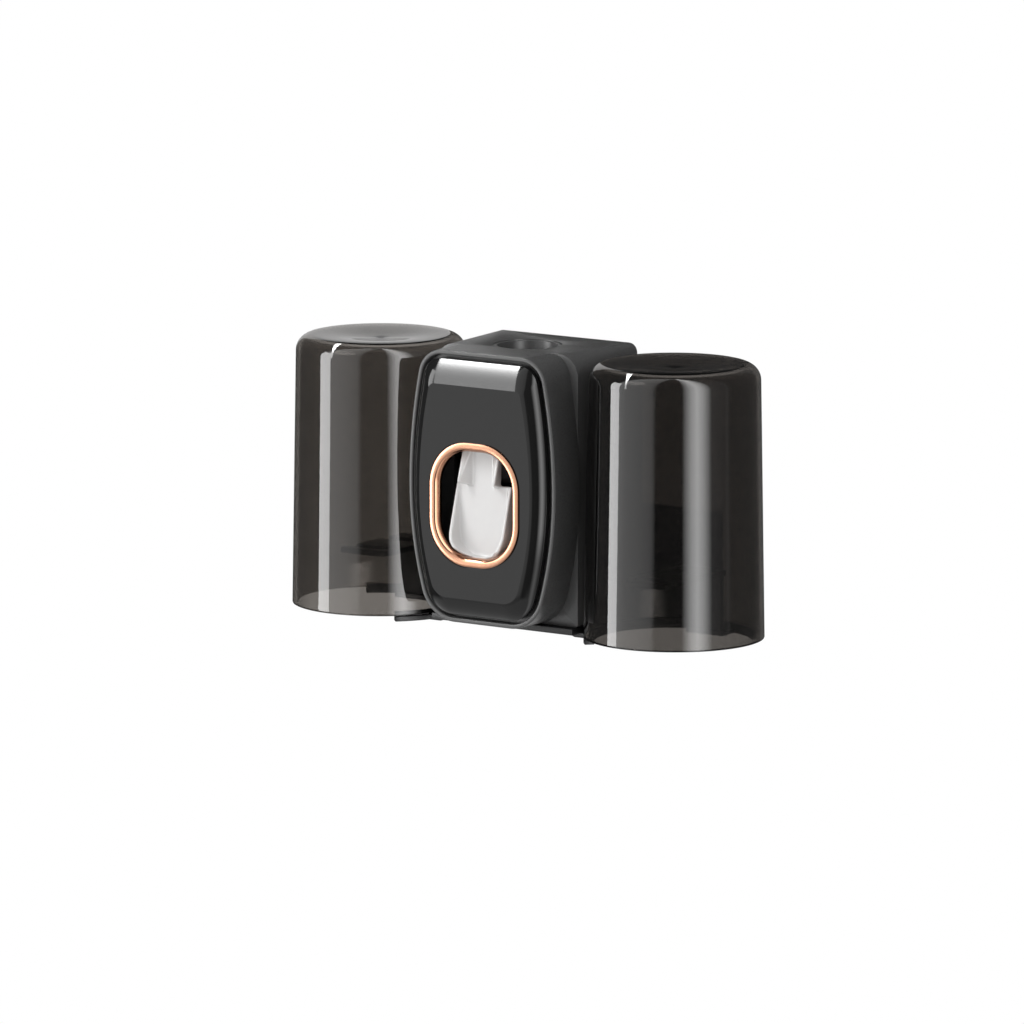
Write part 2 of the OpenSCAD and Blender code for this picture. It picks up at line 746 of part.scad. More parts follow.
module plunger() color(white) {
    // Ball end, spring disc, stem and the boss that presses on the diaphragm
    intersection() {
        translate([0, tip_y + ball_r, plunger_z]) sphere(ball_r);
        bar_y(0, plunger_z, disc_r, tip_y - cut, disc_y + 0.01);
    }
    bar_y(0, plunger_z, disc_r, disc_y, disc_y + disc_t);
    bar_y(0, plunger_z, stem_d / 2, disc_y + disc_t - 0.01, cap_step_y - 0.3);
    bar_y(0, plunger_z, 4.5, cap_face_y + 1.7, cap_step_y - 0.3);
}

// The spring is one tube of six sides, swept along a helix
spring_y0 = disc_y + disc_t + 0.25 + wire_d / 2;
spring_y1 = cap_face_y - 0.25 - wire_d / 2;
spring_pitch = (spring_y1 - spring_y0) / spring_turns;
spring_steps = 12 * spring_turns;
wire_sides = 6;

function spring_ring(i) = let (a = 360 * i / 12, y = spring_y0 + spring_pitch * i / 12)
    [for (k = [0 : wire_sides - 1]) let (b = 360 * k / wire_sides, r = (spring_d + wire_d * cos(b)) / 2)
        [r * cos(a), y + wire_d / 2 * sin(b), plunger_z + r * sin(a)]];

module return_spring() color(steel) {
    n = wire_sides;
    points = [for (i = [0 : spring_steps], p = spring_ring(i)) p];
    sides = [for (i = [0 : spring_steps - 1], k = [0 : n - 1], t = [0, 1]) let (j = (k + 1) % n)
        t == 0 ? [i * n + k, i * n + j, i * n + n + j] : [i * n + k, i * n + n + j, i * n + n + k]];
    first = [for (k = [1 : n - 2]) [0, k + 1, k]];
    last = [for (k = [1 : n - 2]) [spring_steps * n, spring_steps * n + k, spring_steps * n + k + 1]];
    polyhedron(points = points, faces = concat(sides, first, last));
    echo(spring_gap = spring_pitch - wire_d);
}

module pump_frame() color(black) {
    difference() {
        union() {
            slab(frame_y - frame_t, frame_y) translate([-frame_hw, frame_low])
                square([2 * frame_hw, frame_top - frame_low]);
            both_sides() {
                // Cheek beside the chamber, and the arm that carries the pin
                block(frame_in, frame_in + frame_t, branch_y + 4.5, frame_y - 0.01, frame_low, frame_top);
                block(frame_in, frame_in + frame_t, pivot_y, frame_y - 0.01, pivot_z - 4, frame_top);
                bar_x(pivot_y, pivot_z, 4, frame_in, frame_in + frame_t);
            }
            block(-frame_in, frame_in, branch_y + 1, frame_y, frame_low, chamber_low - 2);
            block(-frame_in, frame_in, port_y - chamber_r + 1, frame_y, spout_z - spout_r - 2.4,
                spout_z - spout_r - 0.4);
        }
        bar_z(0, port_y, chamber_r + 0.05, chamber_low - 1.9, frame_top + cut);
        both_sides() bar_x(pivot_y, pivot_z, pin_r + run_gap, frame_in - cut, frame_in + frame_t + cut);
        frame_screw_places() bar_y(0, 0, thread_r + 0.25, frame_y - frame_t - cut, frame_y + cut);
    }
}

module frame_screws() color(steel) {
    frame_screw_places() screw_y(0, 0, frame_y - frame_t, frame_t + 6.5);
}

// The spoon: a rounded outline whose rim is cut by the lever's side view
spoon_front = lever_y - 8;

module spoon_outline(inset) {
    w = spoon_w / 2 - inset;
    r = spoon_r - inset;
    union() {
        translate([-w, spoon_low + spoon_r]) square([2 * w, spoon_top - spoon_low - spoon_r]);
        translate([r - w, spoon_low + inset]) square([2 * (w - r), spoon_r - inset + 0.01]);
        for (s = [-1, 1]) translate([s * (w - r), spoon_low + spoon_r]) circle(r);
    }
}

// The rim leaves the floor at the top of the spoon, and leans out of the opening as it goes down
module spoon_side() {
    rotate([90, 0, 90]) linear_extrude(spoon_w + 2 * cut, center = true) polygon([
        [lever_y + 0.01, spoon_top], [lever_y - lever_t, spoon_top],
        [spoon_front, spoon_low + toe_h], [spoon_front + 0.1, spoon_low + toe_h - 3],
        [lever_y - 3.6, spoon_low], [lever_y + 0.01, spoon_low]]);
}

// A wall of the neck slants out from the floor to an edge that leans forward on the way down
module neck_wall() {
    edge_x = neck_w / 2;
    hull() {
        block(edge_x - 4.4, edge_x - 1.6, lever_y - lever_t, lever_y, neck_low, slot_low);
        block(edge_x - 0.9, edge_x, neck_front, neck_front + 0.6, spoon_top + 0.8, spoon_top + 1.6);
        block(edge_x - 0.9, edge_x, neck_front + neck_lean, neck_front + neck_lean + 0.6, slot_low - 0.8, slot_low);
    }
}

module push_lever() color(white) {
    difference() {
        union() {
            // Neck with its two slanted walls, and the arms up to the pin
            block(4 - neck_w / 2, neck_w / 2 - 4, lever_y - lever_t, lever_y, neck_low, slot_low);
            both_sides() {
                block(arm_in, neck_w / 2, lever_y - 3, lever_y, slot_low - 1, pivot_z);
                neck_wall();
                bar_x(pivot_y, pivot_z, 3.6, arm_in, neck_w / 2);
            }
            // Spoon
            difference() {
                intersection() {
                    slab(spoon_front - cut, lever_y) spoon_outline(0);
                    spoon_side();
                }
                slab(spoon_front - 2 * cut, lever_y - lever_t) spoon_outline(lever_wall);
                block(lever_wall - spoon_w / 2, spoon_w / 2 - lever_wall, spoon_front - cut,
                    lever_y - lever_t, spoon_low + spoon_r, spoon_top + cut);
            }
        }
        both_sides() bar_x(pivot_y, pivot_z, pin_r + run_gap, arm_in - cut, neck_w / 2 + cut);
    }
}

module lever_pin() color(steel) {
    bar_x(pivot_y, pivot_z, pin_r, -frame_in - frame_t - 1.8, frame_in + frame_t + 1.8);
}

module pin_clips() color(steel) {
    both_sides() difference() {
        bar_x(pivot_y, pivot_z, pin_r + 1.5, frame_in + frame_t + 0.2, frame_in + frame_t + 1);
        bar_x(pivot_y, pivot_z, pin_r + 0.02, frame_in + frame_t, frame_in + frame_t + 2);
        block(frame_in + frame_t, frame_in + frame_t + 2, pivot_y - 0.8, pivot_y + 0.8,
            pivot_z - 5, pivot_z);
    }
}

// Profile of a cup with its rim at Z = 0: wall, shoulder arc, then a dish with no kink at its crest
crest_r = cup_base_d / 2 - cup_shoulder_r;
function dish_z(r) = cup_h - cup_dish * (1 + cos(180 * r / crest_r)) / 2;
function dish_pts(drop) = [for (i = [0 : 8]) let (r = crest_r * (8 - i) / 8) [r, dish_z(r) - drop]];
function cup_side(wall) = concat(
    [[cup_rim_d / 2 - wall, 0]],
    arc(crest_r, cup_h - cup_shoulder_r, cup_shoulder_r - wall, 0, 90),
    dish_pts(wall));

module cup(side) color(smoke) {
    outer = cup_side(0);
    inner = cup_side(cup_wall);
    translate([side * cup_x, cup_y, rim_z]) rotate_extrude()
        polygon(concat(outer, [for (i = [len(inner) - 1 : -1 : 0]) inner[i]]));
}

module left_cup() cup(-1);
module right_cup() cup(1);

wall_plate();
adhesive_pads();
cup_tray();
tray_screws();
left_hanger();
right_hanger();
hanger_screws();
rear_housing();
front_bezel();
bezel_screws();
front_panel();
trim_ring();
port_collar();
port_seal();
pump_frame();
frame_screws();
pump_chamber();
chamber_plug();
spout_plug();
inlet_valve();
nozzle_valve();
diaphragm();
retaining_cap();
plunger();
return_spring();
push_lever();
lever_pin();
pin_clips();
left_cup();
right_cup();
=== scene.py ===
# A wall-hung toothpaste dispenser between two inverted cups, dressed for its portrait.
# Lengths are millimetres where MM is applied to them. The frame, the camera's reach and
# the room round the dispenser are in metres.
import math

import bpy
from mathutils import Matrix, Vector


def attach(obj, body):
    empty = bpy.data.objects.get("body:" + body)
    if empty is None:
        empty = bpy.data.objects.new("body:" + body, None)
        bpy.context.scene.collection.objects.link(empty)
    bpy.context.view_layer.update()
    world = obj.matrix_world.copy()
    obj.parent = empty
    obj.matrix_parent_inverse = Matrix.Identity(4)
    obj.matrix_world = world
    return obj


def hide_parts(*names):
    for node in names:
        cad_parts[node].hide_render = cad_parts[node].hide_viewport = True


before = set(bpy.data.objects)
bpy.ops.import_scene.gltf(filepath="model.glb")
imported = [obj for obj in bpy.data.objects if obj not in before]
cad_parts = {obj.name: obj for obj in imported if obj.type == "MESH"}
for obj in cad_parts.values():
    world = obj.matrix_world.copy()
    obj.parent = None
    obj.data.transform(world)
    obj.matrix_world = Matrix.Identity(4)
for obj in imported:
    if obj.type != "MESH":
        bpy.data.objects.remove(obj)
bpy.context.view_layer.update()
scene = bpy.context.scene
scene.view_settings.view_transform = "Standard"
MM = 0.001

# Camera
# A long lens 35 degrees round to the right and 9 degrees up, held level, as the
# catalogue picture of the dispenser was taken.
CAMERA_TURN, CAMERA_RISE = math.radians(34.98), math.radians(9.36)
CAMERA_REACH = 4.0
CAMERA_LENS, CAMERA_SENSOR, CAMERA_FAR = 336.7, 36.0, 50.0
AIM = Vector((-8.07, -40.0, -14.55)) * MM
level_reach = math.cos(CAMERA_RISE)
toward = Vector((math.sin(CAMERA_TURN) * level_reach, -math.cos(CAMERA_TURN) * level_reach,
                 math.sin(CAMERA_RISE)))
bpy.ops.object.camera_add(location=AIM + toward * CAMERA_REACH,
                          rotation=toward.to_track_quat("Z", "Y").to_euler())
camera = bpy.context.object
camera.data.sensor_width = CAMERA_SENSOR
camera.data.lens = CAMERA_LENS
camera.data.clip_end = CAMERA_FAR
scene.camera = camera

# Wall plate and adhesive pads
# The plate is injection-moulded black ABS with a spark-eroded texture, and carries the
# hooks. Grey foam pads stick it to the tiles.
PLATE_EDGE = 0.35


def linear(code):
    """An sRGB hex colour as linear red, green and blue with full alpha."""
    parts = [int(code[i : i + 2], 16) / 255 for i in (1, 3, 5)]
    return [c / 12.92 if c <= 0.04045 else ((c + 0.055) / 1.055) ** 2.4 for c in parts] + [1.0]


def put(tree, kind, sockets=None, **settings):
    """Adds a node; a socket's value is a number, a colour or another node's output."""
    made = tree.nodes.new(kind)
    for key, value in settings.items():
        setattr(made, key, value)
    for key, value in (sockets or {}).items():
        if isinstance(value, bpy.types.NodeSocket):
            tree.links.new(value, made.inputs[key])
        else:
            made.inputs[key].default_value = value
    return made


def new_material(name):
    """An empty material and its node tree."""
    made = bpy.data.materials.new(name)
    made.use_nodes = True
    made.node_tree.nodes.clear()
    return made, made.node_tree


def moulded(name, low, high, roughness, grain, height, ior=1.53, mottle=4.0):
    """Moulded plastic or rubber: a grain in the tool's surface, and a slow drift of tone.

    low and high are the two tones, grain and mottle are sizes in millimetres, and height
    is the depth of the grain in millimetres. A real grain is finer than this picture can
    hold, so it is drawn as coarse as it needs to show.
    """
    made, tree = new_material(name)
    place = put(tree, "ShaderNodeTexCoord")
    drift = put(tree, "ShaderNodeTexNoise", {
        "Vector": place.outputs["Object"], "Scale": 1 / (mottle * MM), "Detail": 3.0})
    grit = put(tree, "ShaderNodeTexNoise", {
        "Vector": place.outputs["Object"], "Scale": 1 / (grain * MM), "Detail": 2.0})
    tone = put(tree, "ShaderNodeMix", {
        "Factor": drift.outputs["Fac"], "A": linear(low), "B": linear(high)}, data_type="RGBA")
    rough = put(tree, "ShaderNodeMapRange", {
        "Value": grit.outputs["Fac"], "From Min": 0.3, "From Max": 0.7,
        "To Min": max(roughness - 0.05, 0.02), "To Max": roughness + 0.05})
    bump = put(tree, "ShaderNodeBump", {
        "Height": grit.outputs["Fac"], "Distance": height * MM, "Strength": 0.6})
    body = put(tree, "ShaderNodeBsdfPrincipled", {
        "Base Color": tone.outputs["Result"], "Roughness": rough.outputs["Result"],
        "Normal": bump.outputs["Normal"], "IOR": ior})
    put(tree, "ShaderNodeOutputMaterial", {"Surface": body.outputs["BSDF"]})
    return made


def use_material(piece, material):
    """Gives the whole piece one material."""
    piece.data.materials.clear()
    piece.data.materials.append(material)


def take_slot(piece, node, body):
    """A new piece rides with its body and stands for its CAD node."""
    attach(piece, body)
    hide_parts(node)


def only(piece):
    """Selects one piece alone and makes it the active one."""
    bpy.ops.object.select_all(action="DESELECT")
    piece.select_set(True)
    bpy.context.view_layer.objects.active = piece


def apply_modifier(piece, kind, **settings):
    only(piece)
    modifier = piece.modifiers.new(kind.lower(), kind)
    for key, value in settings.items():
        setattr(modifier, key, value)
    bpy.ops.object.modifier_apply(modifier=modifier.name)


def smooth(piece, angle):
    """Shades smoothly across every edge that turns by less than the angle."""
    only(piece)
    bpy.ops.object.shade_smooth_by_angle(angle=math.radians(angle))


def eased(node, body, material, edge, angle=35.0, whole_faces=True):
    """A copy of a CAD node with its loose triangles merged and its edges eased.

    Edges that turn by more than the angle are rounded over edge millimetres. whole_faces
    merges each flat face into one, and is off where a flat face has round holes.
    """
    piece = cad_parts[node].copy()
    piece.data = piece.data.copy()
    piece.name = node + "_moulding"
    piece.parent = None
    for key in list(piece.keys()):
        del piece[key]
    scene.collection.objects.link(piece)
    only(piece)
    bpy.ops.object.mode_set(mode="EDIT")
    bpy.ops.mesh.select_all(action="SELECT")
    bpy.ops.mesh.remove_doubles(threshold=0.002 * MM)
    if whole_faces:
        bpy.ops.mesh.dissolve_limited(angle_limit=math.radians(1.0))
    else:
        bpy.ops.mesh.tris_convert_to_quads(face_threshold=math.radians(0.5), shape_threshold=math.pi)
    bpy.ops.object.mode_set(mode="OBJECT")
    if edge:
        apply_modifier(piece, "BEVEL", width=edge * MM, segments=2, limit_method="ANGLE",
                       angle_limit=math.radians(angle))
    apply_modifier(piece, "TRIANGULATE")
    smooth(piece, 30.0)
    use_material(piece, material)
    take_slot(piece, node, body)
    return piece


# Spark-eroded ABS looks nearly black, and its even grain breaks up the highlights
black_abs = moulded("spark_eroded_black_abs", "#1d1d1e", "#222223", 0.42, 0.35, 0.012)
# Acrylic foam is matt, with open pores
pad_foam = moulded("grey_acrylic_foam", "#66686a", "#76787a", 0.85, 0.5, 0.05)
eased("wall_plate", "wall_mount", black_abs, PLATE_EDGE)
use_material(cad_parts["adhesive_pads"], pad_foam)

# Cup tray, hangers and their screws
# The tray and the two hangers are moulded from the same black ABS as the plate. Small
# stainless screws hold them, with turned heads.
TRAY_EDGE = 0.3


def metal(name, colour, roughness, mark, depth, relief, spread=0.06, detail=4.0):
    """Metal with the fine marks of its finish.

    mark and depth are the marks' spacing and depth in millimetres, drawn coarser than real
    ones so that they show. relief is how strongly they tilt the light, and spread is how
    far the roughness swings from mark to mark.
    """
    made, tree = new_material(name)
    place = put(tree, "ShaderNodeTexCoord")
    marks = put(tree, "ShaderNodeTexNoise", {
        "Vector": place.outputs["Object"], "Scale": 1 / (mark * MM), "Detail": detail})
    rough = put(tree, "ShaderNodeMapRange", {
        "Value": marks.outputs["Fac"], "To Min": roughness - spread, "To Max": roughness + spread})
    bump = put(tree, "ShaderNodeBump", {
        "Height": marks.outputs["Fac"], "Distance": depth * MM, "Strength": relief})
    body = put(tree, "ShaderNodeBsdfPrincipled", {
        "Base Color": linear(colour), "Metallic": 1.0, "Roughness": rough.outputs["Result"],
        "Normal": bump.outputs["Normal"]})
    put(tree, "ShaderNodeOutputMaterial", {"Surface": body.outputs["BSDF"]})
    return made


# Turned stainless steel is pale, and its marks spread the highlights a little
stainless = metal("stainless_steel", "#c4c6c8", 0.3, 0.4, 0.01, 0.3)
eased("cup_tray", "wall_mount", black_abs, TRAY_EDGE, whole_faces=False)
for side in ("left", "right"):
    eased(side + "_hanger", "wall_mount", black_abs, TRAY_EDGE)
for node in ("tray_screws", "hanger_screws"):
    use_material(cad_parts[node], stainless)

# Rear housing
# A deep ABS shell, satin outside, whose upper corners tighten towards the wall and whose
# lower corners are nearly square. It hangs on the hooks of the wall plate.
HOUSING_EDGE = 0.25
# Satin ABS is a dark grey with soft, wide highlights
satin_abs = moulded("satin_black_abs", "#484848", "#4c4c4c", 0.3, 0.3, 0.006, ior=1.45)
eased("rear_housing", "dispenser", satin_abs, HOUSING_EDGE, angle=50.0)

# Front bezel
# The barrel-shaped front of the housing, moulded in the same satin ABS, with a thin
# rounded lip. Four pegs of the panel push into its flange, and four screws hold it.
HALF_HIGH, BARREL_HALF = 57.0, 37.0
SIDE_TOP_R, SIDE_LOW_R, LOW_R = 228.0, 158.0, 17.0
LIP_TOP_R, SPLIT_TOP_R = 12.0, 9.66
LIP_Y, SPLIT_Y, FLANGE_Y = -73.5, -55.5, -70.2
LIP_OUTER_R, LIP_INNER_R = 0.5, 0.6
BEZEL_WALL, FLANGE_REACH, FLANGE_THICK, FLANGE_EDGE = 2.0, 10.0, 2.0, 0.2
HAIR = 0.01  # keeps the side of the bezel just inside the housing's outline
PEG_PLACES = [(13.0, 50.3), (-13.0, 50.3), (11.0, -50.2), (-11.0, -50.2)]
PEG_R, PEG_HOLE_R, PEG_SIDES = 1.6, 1.9, 40
ARC_STEPS, FLAT_STEPS = 20, 12


def arc(cx, cz, r, start, end):
    """Points from the start to the end angle, in degrees."""
    steps = [math.radians(start + (end - start) * i / ARC_STEPS) for i in range(ARC_STEPS + 1)]
    return [(cx + r * math.cos(a), cz + r * math.sin(a)) for a in steps]


def barrel(inset, top_r=LIP_TOP_R):
    """The outline of the front, drawn inset, from the bottom middle round to the left."""
    top_z, low_z = HALF_HIGH - top_r, HALF_HIGH - LOW_R
    top_cx, low_cx = BARREL_HALF - SIDE_TOP_R, BARREL_HALF - SIDE_LOW_R
    top_x = top_cx + math.sqrt((SIDE_TOP_R - top_r) ** 2 - top_z**2)
    low_x = low_cx + math.sqrt((SIDE_LOW_R - LOW_R) ** 2 - low_z**2)
    turn_top = math.degrees(math.atan2(top_z, top_x - top_cx))
    turn_low = math.degrees(math.atan2(low_z, low_x - low_cx))
    half = [(low_x * i / FLAT_STEPS, -HALF_HIGH + inset) for i in range(FLAT_STEPS)]
    half += arc(low_x, -low_z, max(LOW_R - inset, 0.5), -90, -turn_low)
    half += arc(low_cx, 0, SIDE_LOW_R - inset, -turn_low, 0)[1:]
    half += arc(top_cx, 0, SIDE_TOP_R - inset, 0, turn_top)[1:]
    half += arc(top_x, top_z, max(top_r - inset, 0.5), turn_top, 90)[1:]
    half += [(top_x * i / FLAT_STEPS, HALF_HIGH - inset) for i in reversed(range(FLAT_STEPS))]
    return half + [(-x, z) for x, z in reversed(half[1:-1])]


def at_depth(outline, y):
    """An outline in millimetres as places in metres, at the depth y."""
    return [Vector((x, y, z)) * MM for x, z in outline]


def place_key(place):
    """A place rounded to the ten-thousandth of a millimetre, to look its point up by."""
    return tuple(round(c, 7) for c in place)


def lofted(name, rows):
    """Extrudes a ring of edges from row to row; the last row closes on the first."""
    bpy.ops.object.select_all(action="DESELECT")
    bpy.ops.mesh.primitive_circle_add(vertices=len(rows[0]), radius=0.01)
    piece = bpy.context.object
    piece.name = name
    mesh = piece.data
    last = list(range(len(rows[0])))
    for i, place in zip(last, rows[0]):
        mesh.vertices[i].co = place
    for before, after in zip(rows, rows[1:]):
        bpy.ops.object.mode_set(mode="EDIT")
        bpy.ops.mesh.extrude_edges_move()
        bpy.ops.object.mode_set(mode="OBJECT")
        fresh = range(len(mesh.vertices) - len(last), len(mesh.vertices))
        where = {place_key(place): k for k, place in enumerate(before)}
        order = {where[place_key(mesh.vertices[i].co)]: i for i in fresh}
        last = [order[k] for k in range(len(before))]
        for i, place in zip(last, after):
            mesh.vertices[i].co = place
    bpy.ops.object.mode_set(mode="EDIT")
    bpy.ops.mesh.select_all(action="SELECT")
    bpy.ops.mesh.remove_doubles(threshold=0.0005 * MM)
    bpy.ops.mesh.normals_make_consistent(inside=False)
    bpy.ops.object.mode_set(mode="OBJECT")
    bpy.ops.object.transform_apply(location=True, rotation=True, scale=True)
    return piece


def rods_y(name, places, radius, low, high):
    """Round bars along the depth, joined into one mesh."""
    made = []
    for x, z in places:
        bpy.ops.object.select_all(action="DESELECT")
        bpy.ops.mesh.primitive_cylinder_add(
            vertices=PEG_SIDES, radius=radius * MM, depth=(high - low) * MM,
            location=Vector((x, (low + high) / 2, z)) * MM, rotation=(math.pi / 2, 0, 0))
        made.append(bpy.context.object)
    for rod in made:
        rod.select_set(True)
    bpy.ops.object.join()
    bpy.ops.object.transform_apply(location=True, rotation=True, scale=True)
    bpy.context.object.name = name
    return bpy.context.object


def cut_away(piece, tool):
    """Cuts the tool's shape out of the piece and removes the tool."""
    apply_modifier(piece, "BOOLEAN", operation="DIFFERENCE", object=tool, solver="EXACT")
    bpy.data.objects.remove(tool)


# The side, from the joint with the housing to the lip
lip_start_y = LIP_Y + LIP_OUTER_R
bezel_rows = [at_depth(barrel(2 * HAIR, SPLIT_TOP_R), SPLIT_Y)]
bezel_rows += [at_depth(barrel(HAIR, SPLIT_TOP_R + (LIP_TOP_R - SPLIT_TOP_R) * k),
                        SPLIT_Y + (lip_start_y - SPLIT_Y) * k) for k in (0.25, 0.5, 0.75, 1.0)]
# The lip, rounded outside and inside
for a in (math.radians(30), math.radians(60), math.radians(90)):
    bezel_rows.append(at_depth(barrel(LIP_OUTER_R * (1 - math.cos(a))),
                               lip_start_y - LIP_OUTER_R * math.sin(a)))
for a in (0.0, math.radians(30), math.radians(60), math.radians(90)):
    bezel_rows.append(at_depth(barrel(BEZEL_WALL - LIP_INNER_R * (1 - math.sin(a))),
                               LIP_Y + LIP_INNER_R * (1 - math.cos(a))))
# The flange, and back inside to the joint
flange_back_y = FLANGE_Y + FLANGE_THICK
for inset, y in (
        (BEZEL_WALL, FLANGE_Y - FLANGE_EDGE), (BEZEL_WALL + FLANGE_EDGE, FLANGE_Y),
        (FLANGE_REACH - FLANGE_EDGE, FLANGE_Y), (FLANGE_REACH, FLANGE_Y + FLANGE_EDGE),
        (FLANGE_REACH, flange_back_y), (BEZEL_WALL, flange_back_y), (BEZEL_WALL, SPLIT_Y)):
    bezel_rows.append(at_depth(barrel(inset), y))
bezel = lofted("bezel_moulding", bezel_rows + bezel_rows[:1])
cut_away(bezel, rods_y("peg_holes", PEG_PLACES, PEG_HOLE_R, FLANGE_Y - 1.0, flange_back_y + 1.0))
smooth(bezel, 32.0)
use_material(bezel, satin_abs)
take_slot(bezel, "front_bezel", "dispenser")
# Black-oxide steel is dark, with a dull gleam
blackened = metal("black_oxide_steel", "#2a2b2d", 0.38, 0.4, 0.01, 0.3)
use_material(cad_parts["bezel_screws"], blackened)

# Pump
# Frame, chamber, plugs and cap are plain moulded ABS; the screws are black-oxide steel,
# the spring and pin stainless, and the valves and diaphragm milky silicone rubber.
PUMP_EDGE = 0.25
# ABS from an unpolished tool is dull and even
inner_abs = moulded("plain_moulded_abs", "#0e0e0f", "#121213", 0.5, 0.4, 0.01)
# Silicone rubber is milky, with a skin-like gleam
silicone = moulded("translucent_silicone", "#c9cccb", "#d8dada", 0.45, 0.6, 0.01, ior=1.41)
# Acetal is a waxy white
white_pom = moulded("white_acetal", "#e2e2e1", "#ecebea", 0.28, 0.4, 0.004, ior=1.48)
for node in ("pump_frame", "pump_chamber"):
    eased(node, "dispenser", inner_abs, PUMP_EDGE, angle=50.0)
for node in ("chamber_plug", "spout_plug", "retaining_cap"):
    use_material(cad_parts[node], inner_abs)
for node in ("inlet_valve", "nozzle_valve", "diaphragm"):
    use_material(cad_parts[node], silicone)
for node in ("return_spring", "lever_pin", "pin_clips"):
    use_material(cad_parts[node], stainless)
use_material(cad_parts["frame_screws"], blackened)
use_material(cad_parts["plunger"], white_pom)

# Paste port
# A cup-shaped ABS collar set in the roof of the housing, and in it a soft seal that
# grips the neck pushed through it, moulded in grey silicone.
COLLAR_EDGE, SEAL_EDGE = 0.3, 0.2
# Filled silicone is a matt dark grey
grey_silicone = moulded("grey_silicone", "#4c4e50", "#585a5c", 0.55, 0.5, 0.02, ior=1.41)
eased("port_collar", "dispenser", satin_abs, COLLAR_EDGE)
eased("port_seal", "dispenser", grey_silicone, SEAL_EDGE)

# Push lever
# A gloss white ABS tongue hung from the pin: a channel-shaped neck that widens into a
# spoon, with all its edges blended. A push on the spoon swings it back and works the pump.
BLEND_VOXEL, BLEND_PASSES, FACES_KEPT = 0.32, 14, 0.35
# Gloss ABS has clear highlights over an even white
gloss_white = moulded("gloss_white_abs", "#d7d6d6", "#dcdcdb", 0.2, 0.25, 0.002)
lever = eased("push_lever", "lever", gloss_white, 0.0)
apply_modifier(lever, "REMESH", mode="VOXEL", voxel_size=BLEND_VOXEL * MM)
apply_modifier(lever, "SMOOTH", factor=0.5, iterations=BLEND_PASSES)
apply_modifier(lever, "DECIMATE", ratio=FACES_KEPT)
smooth(lever, 60.0)

# Front panel
# A gloss black ABS cover, polished in the tool, rolled back all round its flat face. Four
# pegs on its back hold it in the bezel, and a shallow recess takes the ring.
PANEL_Y, PANEL_BACK_Y, PANEL_INSET = -78.9, -72.2, 3.5
ROLL_SIDE, ROLL_TOP, ROLL_LOW, ROLL_DEPTH = 5.6, 9.9, 7.7, 4.4
ROLL_START, ROLL_END, ROLL_ROWS = math.radians(30.0), math.radians(78.0), 15
FACE_WALL, SIDE_WALL, ROLL_WALL = 2.5, 2.2, 1.6
PEG_ROOT, PEG_END_EDGE = 0.3, 0.4
RECESS_DEPTH = 0.5
RING_CORE_X, RING_CORE_Z, RING_Z, RING_R = 3.35, 7.0, -5.9, 19.0
RING_LAP, RECESS_GAP = 1.2, 0.6


def panel_outline(k, extra=0.0):
    """k runs from 0 at the panel's rim to 1 at its flat face."""
    inset = PANEL_INSET + extra + ROLL_SIDE * k
    more_top, more_low = (ROLL_TOP - ROLL_SIDE) * k, (ROLL_LOW - ROLL_SIDE) * k
    shrink = 1 - (more_top + more_low) / (2 * (HALF_HIGH - inset))
    return [(x, z * shrink + (more_low - more_top) / 2) for x, z in barrel(inset)]


def roll(t):
    """t runs from 0 at the panel's rim to 1 at its face; gives how far in and how deep the roll is."""
    a = ROLL_START + (ROLL_END - ROLL_START) * t
    k = (math.cos(ROLL_START) - math.cos(a)) / (math.cos(ROLL_START) - math.cos(ROLL_END))
    rest = (math.sin(ROLL_END) - math.sin(a)) / (math.sin(ROLL_END) - math.sin(ROLL_START))
    return k, PANEL_Y + ROLL_DEPTH * rest


face = panel_outline(1.0)


def oval(inset):
    """The ring's outline, drawn inset, with a point in line with each point of the panel's face."""
    found = []
    for x, z in face:
        a = math.atan2(z - RING_Z, x)
        low, top = 0.0, 100.0
        for _ in range(50):
            t = (low + top) / 2
            px = max(abs(t * math.cos(a)) - RING_CORE_X, 0)
            pz = max(abs(t * math.sin(a)) - RING_CORE_Z, 0)
            low, top = (t, top) if math.hypot(px, pz) < RING_R - inset else (low, t)
        found.append((low * math.cos(a), RING_Z + low * math.sin(a)))
    return found


panel_rows = [at_depth(panel_outline(0.0), PANEL_BACK_Y)]
for i in range(ROLL_ROWS):
    k, y = roll(i / (ROLL_ROWS - 1))
    panel_rows.append(at_depth(panel_outline(k), y))
hole, recess, inner_side = oval(RING_LAP), oval(-RECESS_GAP), panel_outline(0.0, SIDE_WALL)
recess_y, face_back_y = PANEL_Y + RECESS_DEPTH, PANEL_Y + FACE_WALL
for outline, y in (
        (recess, PANEL_Y), (recess, recess_y), (hole, recess_y), (hole, face_back_y), (face, face_back_y),
        (inner_side, PANEL_Y + ROLL_DEPTH + ROLL_WALL), (inner_side, PANEL_BACK_Y)):
    panel_rows.append(at_depth(outline, y))
panel = lofted("panel_moulding", panel_rows + panel_rows[:1])
pegs = rods_y("panel_pegs", PEG_PLACES, PEG_R, PANEL_Y + ROLL_DEPTH + PEG_ROOT, flange_back_y + 1.0)
apply_modifier(pegs, "BEVEL", width=PEG_END_EDGE * MM, segments=2)
only(panel)
pegs.select_set(True)
bpy.ops.object.join()
smooth(panel, 5.0)
# ABS from a mirror-polished tool mirrors the room sharply over a near-black body
piano_black = moulded("piano_black_abs", "#1a1a1a", "#1c1c1c", 0.06, 0.3, 0.0, ior=1.38, mottle=20.0)
use_material(panel, piano_black)
take_slot(panel, "front_panel", "front_cover")

